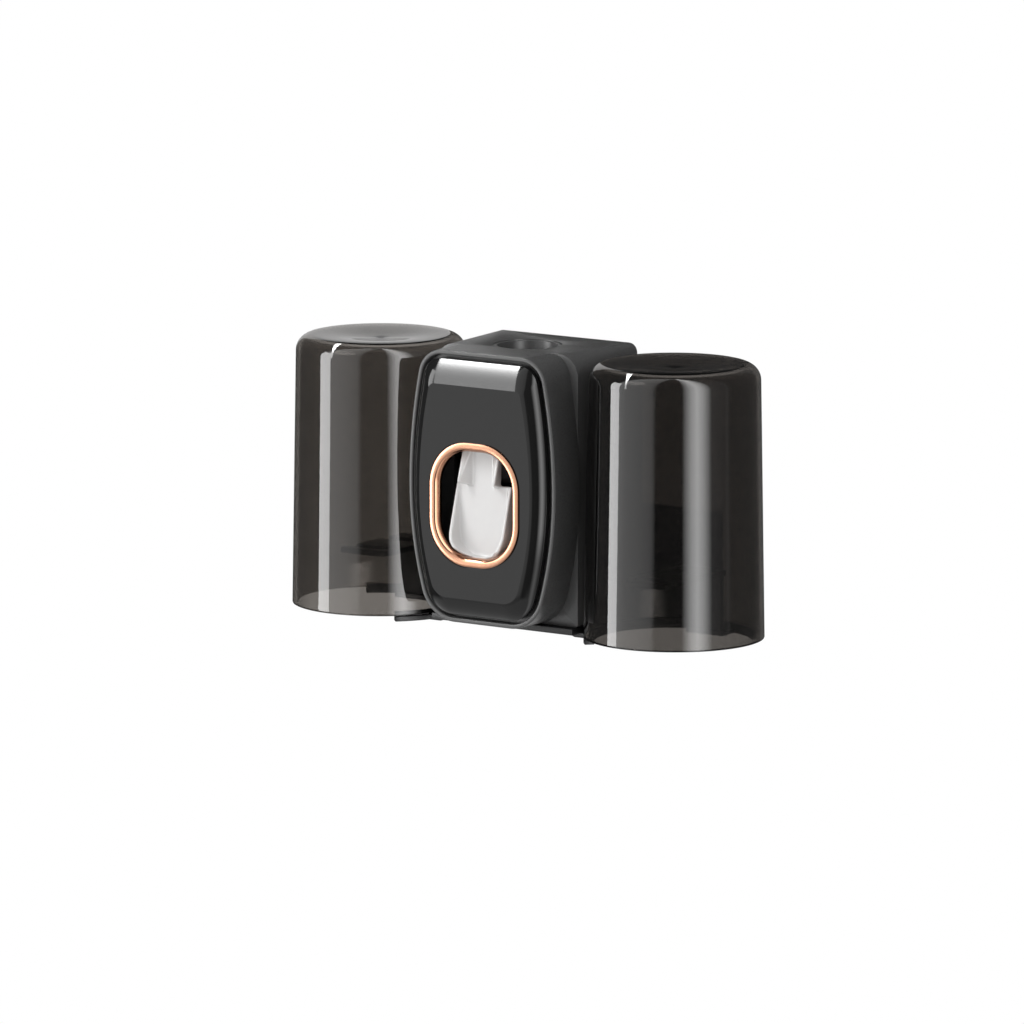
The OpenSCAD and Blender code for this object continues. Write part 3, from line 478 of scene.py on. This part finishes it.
# Trim ring
# Drawn aluminium, anodised rose gold, pressed into the recess. Its flange laps over the
# edge of the opening, and its inner lip leans back into it.
TRIM_Y, TRIM_BACK_Y = -79.4, -75.4
TRIM_OUTSIDE = ((0.0, 0.2), (0.06, 0.06), (0.2, 0.0), (2.3, 0.0), (2.42, 0.04))
TRIM_LIP = ((2.8, 0.3), (2.95, 0.5), (3.6, 1.45), (3.7, 1.7))
TRIM_INSIDE, TRIM_EDGE, TRIM_NECK = 3.7, 0.2, 1.3

trim_profile = [(0.0, recess_y)] + [(inset, TRIM_Y + deep) for inset, deep in TRIM_OUTSIDE + TRIM_LIP]
trim_profile += [(TRIM_INSIDE, TRIM_BACK_Y - 0.3), (TRIM_INSIDE - TRIM_EDGE, TRIM_BACK_Y)]
trim_profile += [(TRIM_NECK, TRIM_BACK_Y), (TRIM_NECK, recess_y), (0.0, recess_y)]
trim = lofted("trim_ring_anodised", [at_depth(oval(inset), y) for inset, y in trim_profile])
smooth(trim, 40.0)
# Anodised aluminium is a dyed oxide over a fine etch, which softens the metal's highlights
rose_gold = metal("rose_gold_anodised_aluminium", "#b98a70", 0.2, 0.25, 0.004, 0.4, spread=0.05, detail=3.0)
use_material(trim, rose_gold)
take_slot(trim, "trim_ring", "front_cover")

# Cups
# Injection-moulded smoke-tinted SAN, clear and glossy, hung upside down on the tray's
# ledges. The gate mark is a small dimple in the middle of the base.
CUP_X, CUP_Y, RIM_Z = 74.5, -41.3, -58.8
CUP_H, CUP_WALL, RIM_R, BASE_R, SHOULDER_R, DISH = 114.4, 1.8, 37.5, 35.7, 7.0, 1.8
GATE_R, GATE_DEPTH = 1.6, 0.5
CUP_SIDES, SHOULDER_STEPS, BASE_STEPS, WALL_STEPS = 128, 10, 12, 6
# The left cup's tints are paler than the right one's. This is painted light and shade: the two are a lit and
# a shaded copy of one smoke tint
CUP_LIT_AND_SHADED_TINTS = ((-1, "left", "#807b76", "#625e5a"), (1, "right", "#605c58", "#4a4643"))


def turned(name, profile, centre):
    """Lofts rings of points through a profile of radius and height, and fills both its ends."""
    way = [2 * math.pi * i / CUP_SIDES for i in range(CUP_SIDES)]
    rings = [[centre + Vector((r * math.cos(a), r * math.sin(a), z)) * MM for a in way] for r, z in profile]
    piece = lofted(name, rings)
    bpy.ops.object.mode_set(mode="EDIT")
    bpy.ops.mesh.select_all(action="SELECT")
    bpy.ops.mesh.fill_holes(sides=0)
    bpy.ops.mesh.normals_make_consistent(inside=False)
    bpy.ops.object.mode_set(mode="OBJECT")
    return piece


def shoulder(radius):
    """The round from the wall to the base."""
    cx, cz = BASE_R - SHOULDER_R, CUP_H - SHOULDER_R
    steps = [math.pi / 2 * i / SHOULDER_STEPS for i in range(SHOULDER_STEPS, -1, -1)]
    return [(cx + radius * math.sin(a), cz + radius * math.cos(a)) for a in steps]


def dished_base(drop):
    """The base from its crest to its middle, which lies DISH lower."""
    crest = BASE_R - SHOULDER_R
    radii = [max(crest * (BASE_STEPS - i) / BASE_STEPS, 0.3) for i in range(1, BASE_STEPS + 1)]
    return [(r, CUP_H - DISH * (1 + math.cos(math.pi * r / crest)) / 2 - drop) for r in radii]


def wall_points(start, end):
    """The points between two ends of a straight wall."""
    shares = [i / WALL_STEPS for i in range(1, WALL_STEPS)]
    return [(start[0] + (end[0] - start[0]) * k, start[1] + (end[1] - start[1]) * k) for k in shares]


def tinted_clear(name, tint, edge_tint, surface):
    """Smoke-tinted clear plastic: it darkens what lies behind it and mirrors the soft boxes.

    edge_tint stands for the longer way through a wall seen edge-on, and the slow bump for
    the flow of the plastic in its tool.
    """
    made, tree = new_material(name)
    slant = put(tree, "ShaderNodeLayerWeight", {"Blend": 0.5})
    along = put(tree, "ShaderNodeMapRange", {
        "Value": slant.outputs["Facing"], "From Min": 0.37, "From Max": 0.62})
    tone = put(tree, "ShaderNodeMix", {
        "Factor": along.outputs["Result"], "A": linear(tint), "B": linear(edge_tint)}, data_type="RGBA")
    place = put(tree, "ShaderNodeTexCoord")
    flow = put(tree, "ShaderNodeTexNoise", {
        "Vector": place.outputs["Object"], "Scale": 1 / (18 * MM), "Detail": 1.0})
    bump = put(tree, "ShaderNodeBump", {
        "Height": flow.outputs["Fac"], "Distance": 0.05 * MM, "Strength": 0.3})
    body = put(tree, "ShaderNodeBsdfPrincipled", {
        "Base Color": tone.outputs["Result"], "Roughness": surface, "IOR": 1.57,
        "Transmission Weight": 1.0, "Normal": bump.outputs["Normal"]})
    put(tree, "ShaderNodeOutputMaterial", {"Surface": body.outputs["BSDF"]})
    return made


outer = shoulder(SHOULDER_R) + dished_base(0.0)
outer = [(r, z - GATE_DEPTH * math.exp(-((r / GATE_R) ** 2))) for r, z in outer]
inner = shoulder(SHOULDER_R - CUP_WALL) + dished_base(CUP_WALL)
# A ring of points 1 mm above the rim keeps the wall's shading straight down to it
rim_in = RIM_R - CUP_WALL
rim = [(rim_in, 1.0), (rim_in, 0.5), (rim_in + 0.2, 0.12), (rim_in + 0.5, 0.0), (RIM_R - 0.5, 0.0),
       (RIM_R - 0.12, 0.15), (RIM_R, 0.5), (RIM_R - 0.01, 1.0)]
profile = inner[::-1] + wall_points(rim[0], inner[0])[::-1] + rim + wall_points(rim[-1], outer[0]) + outer
# The left cup takes the lit copy of the tint and the right cup the shaded copy, as painted light and shade
for side, name, tint, edge_tint in CUP_LIT_AND_SHADED_TINTS:
    cup = turned(name + "_cup_moulding", profile, Vector((side * CUP_X, CUP_Y, RIM_Z)) * MM)
    smooth(cup, 40.0)
    use_material(cup, tinted_clear(name + "_smoke_tinted_san", tint, edge_tint, 0.03))
    take_slot(cup, name + "_cup", name + "_cup")

# Floor
# A pale floor well below the dispenser, which lights it from underneath and is plain
# white to the camera.
FLOOR_Z, FLOOR_SIZE = -0.32, 8.0
WHITE = (1, 1, 1, 1)
bpy.ops.object.select_all(action="DESELECT")
bpy.ops.mesh.primitive_plane_add(size=FLOOR_SIZE, location=(0, 0, FLOOR_Z))
floor = bpy.context.object
floor.name = "floor"
floor.visible_glossy = False
pale, tree = new_material("pale_floor")
ray = put(tree, "ShaderNodeLightPath")
paint = put(tree, "ShaderNodeBsdfDiffuse", {"Color": linear("#f4f4f4")})
glow = put(tree, "ShaderNodeEmission", {"Color": WHITE, "Strength": 1.0})
both = put(tree, "ShaderNodeMixShader", {
    0: ray.outputs["Is Camera Ray"], 1: paint.outputs[0], 2: glow.outputs[0]})
put(tree, "ShaderNodeOutputMaterial", {"Surface": both.outputs[0]})
floor.data.materials.append(pale)

# Soft boxes
# Two that only the gloss mirrors: a tall one to the left, and a low one behind to the
# left, which the left cup's base and the near end of the housing's top pick up.
LEFT_BOX_AWAY, LEFT_BOX_TURNS = 0.8, (math.radians(-55.0), math.radians(-39.0))
LEFT_BOX_LOW, LEFT_BOX_TOP, LEFT_BOX_GLOW = -0.26, 0.42, 8.0
BACK_BOX_ENDS, BACK_BOX_TOP, BACK_BOX_GLOW = ((-0.8, 0.5), (-0.4, 0.5)), 0.45, 0.6


def soft_box(name, ends, low, top, strength):
    """An upright sheet of light between two points on the floor plan."""
    bpy.ops.object.select_all(action="DESELECT")
    bpy.ops.mesh.primitive_plane_add(size=1.0)
    sheet = bpy.context.object
    sheet.name = name
    corners = [(*end, z) for z in (low, top) for end in ends]
    for vertex, corner in zip(sheet.data.vertices, corners):
        vertex.co = corner
    cloth, tree = new_material(name + "_cloth")
    glow = put(tree, "ShaderNodeEmission", {"Color": WHITE, "Strength": strength})
    put(tree, "ShaderNodeOutputMaterial", {"Surface": glow.outputs[0]})
    sheet.data.materials.append(cloth)
    sheet.visible_camera = sheet.visible_diffuse = False
    sheet.visible_transmission = sheet.visible_shadow = False


left_ends = [(LEFT_BOX_AWAY * math.sin(a), AIM.y - LEFT_BOX_AWAY * math.cos(a)) for a in LEFT_BOX_TURNS]
soft_box("left_soft_box", left_ends, LEFT_BOX_LOW, LEFT_BOX_TOP, LEFT_BOX_GLOW)
soft_box("back_soft_box", BACK_BOX_ENDS, 0.0, BACK_BOX_TOP, BACK_BOX_GLOW)

# Surround
# White to the camera and through the cups, and an even light on what is matt. Gloss
# mirrors a studio in it: walls of changing level all round, and a bright strip overhead.
# Degrees from the front and the level there, round the walls
ROUND = ((-180, 0.12), (-150, 0.03), (-100, 0.03), (-52, 0.12), (-46, 2.0), (-34, 1.5),
         (-10, 1.2), (4, 0.9), (10, 0.05), (44, 0.05), (56, 4.5), (64, 6.5), (72, 4.5),
         (84, 0.35), (104, 0.2), (108, 0.35), (112, 0.12), (180, 0.06))
ROUND_TOP = 8.0
STRIP_X, STRIP_CORE, STRIP_FADE = -0.566, 0.014, 0.024
STRIP_GLOW, STRIP_RISE, STRIP_POWER = 8.0, 130.0, 5.0
MATT_LEVEL, FAR_DOWN_LEVEL, DIM_SHARE = 0.72, 0.75, 0.4
world = bpy.data.worlds.new("studio")
world.use_nodes = True
scene.world = world
tree = world.node_tree
tree.nodes.clear()
place = put(tree, "ShaderNodeTexCoord")
way = put(tree, "ShaderNodeSeparateXYZ", {"Vector": place.outputs["Generated"]})
# 0 to 1 for -180 to 180 degrees from the front, positive to the right
back = put(tree, "ShaderNodeMath", {0: way.outputs["Y"], 1: -1.0}, operation="MULTIPLY")
azimuth = put(tree, "ShaderNodeMath", {0: way.outputs["X"], 1: back.outputs[0]}, operation="ARCTAN2")
turned_round = put(tree, "ShaderNodeMapRange", {
    "Value": azimuth.outputs[0], "From Min": -math.pi, "From Max": math.pi})
ramp = put(tree, "ShaderNodeValToRGB", {"Fac": turned_round.outputs["Result"]})
stops = ramp.color_ramp.elements
while len(stops) < len(ROUND):
    stops.new(0.5)
for stop, (angle, level) in zip(stops, ROUND):
    stop.position = (angle + 180) / 360
    stop.color = (level / ROUND_TOP,) * 3 + (1,)
walls = put(tree, "ShaderNodeMath", {0: ramp.outputs["Color"], 1: ROUND_TOP}, operation="MULTIPLY")
# Below the horizon the walls dim, and further down comes a paler level for the floor,
# which gloss doesn't mirror
shade = put(tree, "ShaderNodeMapRange", {
    "Value": way.outputs["Z"], "From Min": -0.42, "From Max": -0.3, "To Min": DIM_SHARE, "To Max": 1.0})
dimmed = put(tree, "ShaderNodeMath", {0: walls.outputs[0], 1: shade.outputs[0]}, operation="MULTIPLY")
downward = put(tree, "ShaderNodeMapRange", {
    "Value": way.outputs["Z"], "From Min": -0.45, "From Max": -0.55, "To Max": FAR_DOWN_LEVEL})
around = put(tree, "ShaderNodeMath", {0: dimmed.outputs[0], 1: downward.outputs[0]}, operation="MAXIMUM")
# The strip lies in line with what the panel's top roll mirrors. It starts just above the
# horizon in front and brightens upwards.
steep = put(tree, "ShaderNodeMath", {0: way.outputs["Z"], 1: STRIP_POWER}, operation="POWER")
strip_glow = put(tree, "ShaderNodeMath", {
    0: steep.outputs[0], 1: STRIP_RISE, 2: STRIP_GLOW}, operation="MULTIPLY_ADD")
off_line = put(tree, "ShaderNodeMath", {0: way.outputs["X"], 1: STRIP_X}, operation="SUBTRACT")
off_by = put(tree, "ShaderNodeMath", {0: off_line.outputs[0]}, operation="ABSOLUTE")
on_line = put(tree, "ShaderNodeMapRange", {
    "Value": off_by.outputs[0], "From Min": STRIP_FADE, "From Max": STRIP_CORE})
above = put(tree, "ShaderNodeMapRange", {"Value": way.outputs["Z"], "From Min": 0.02, "From Max": 0.04})
ahead = put(tree, "ShaderNodeMapRange", {"Value": way.outputs["Y"], "From Min": 0.45, "From Max": 0.15})
in_reach = put(tree, "ShaderNodeMath", {0: above.outputs[0], 1: ahead.outputs[0]}, operation="MULTIPLY")
in_strip = put(tree, "ShaderNodeMath", {0: in_reach.outputs[0], 1: on_line.outputs[0]}, operation="MULTIPLY")
mirrored = put(tree, "ShaderNodeMix", {
    "Factor": in_strip.outputs[0], "A": around.outputs[0], "B": strip_glow.outputs[0]}, data_type="FLOAT")
# What each kind of ray gets
ray = put(tree, "ShaderNodeLightPath")
bounced = put(tree, "ShaderNodeMix", {
    "Factor": ray.outputs["Is Glossy Ray"], "A": MATT_LEVEL,
    "B": mirrored.outputs["Result"]}, data_type="FLOAT")
straight = put(tree, "ShaderNodeMath", {
    0: ray.outputs["Is Camera Ray"], 1: ray.outputs["Is Transmission Ray"]}, operation="MAXIMUM")
strength = put(tree, "ShaderNodeMix", {
    "Factor": straight.outputs[0], "A": bounced.outputs["Result"], "B": 1.0}, data_type="FLOAT")
light = put(tree, "ShaderNodeBackground", {"Color": WHITE, "Strength": strength.outputs["Result"]})
put(tree, "ShaderNodeOutputWorld", {"Surface": light.outputs[0]})

# Lamp
# One large soft lamp in front of the dispenser, above and to its left. Gloss doesn't
# mirror it.
LAMP_PLACE, LAMP_WIDE, LAMP_WATTS = Vector((-0.7, -1.2, 1.3)), 0.9, 15.0
bpy.ops.object.light_add(type="AREA", location=LAMP_PLACE)
lamp = bpy.context.object
lamp.name = "soft_lamp"
lamp.data.shape = "DISK"
lamp.data.size = LAMP_WIDE
lamp.data.energy = LAMP_WATTS
lamp.rotation_euler = (LAMP_PLACE - AIM).to_track_quat("Z", "Y").to_euler()
lamp.visible_glossy = False
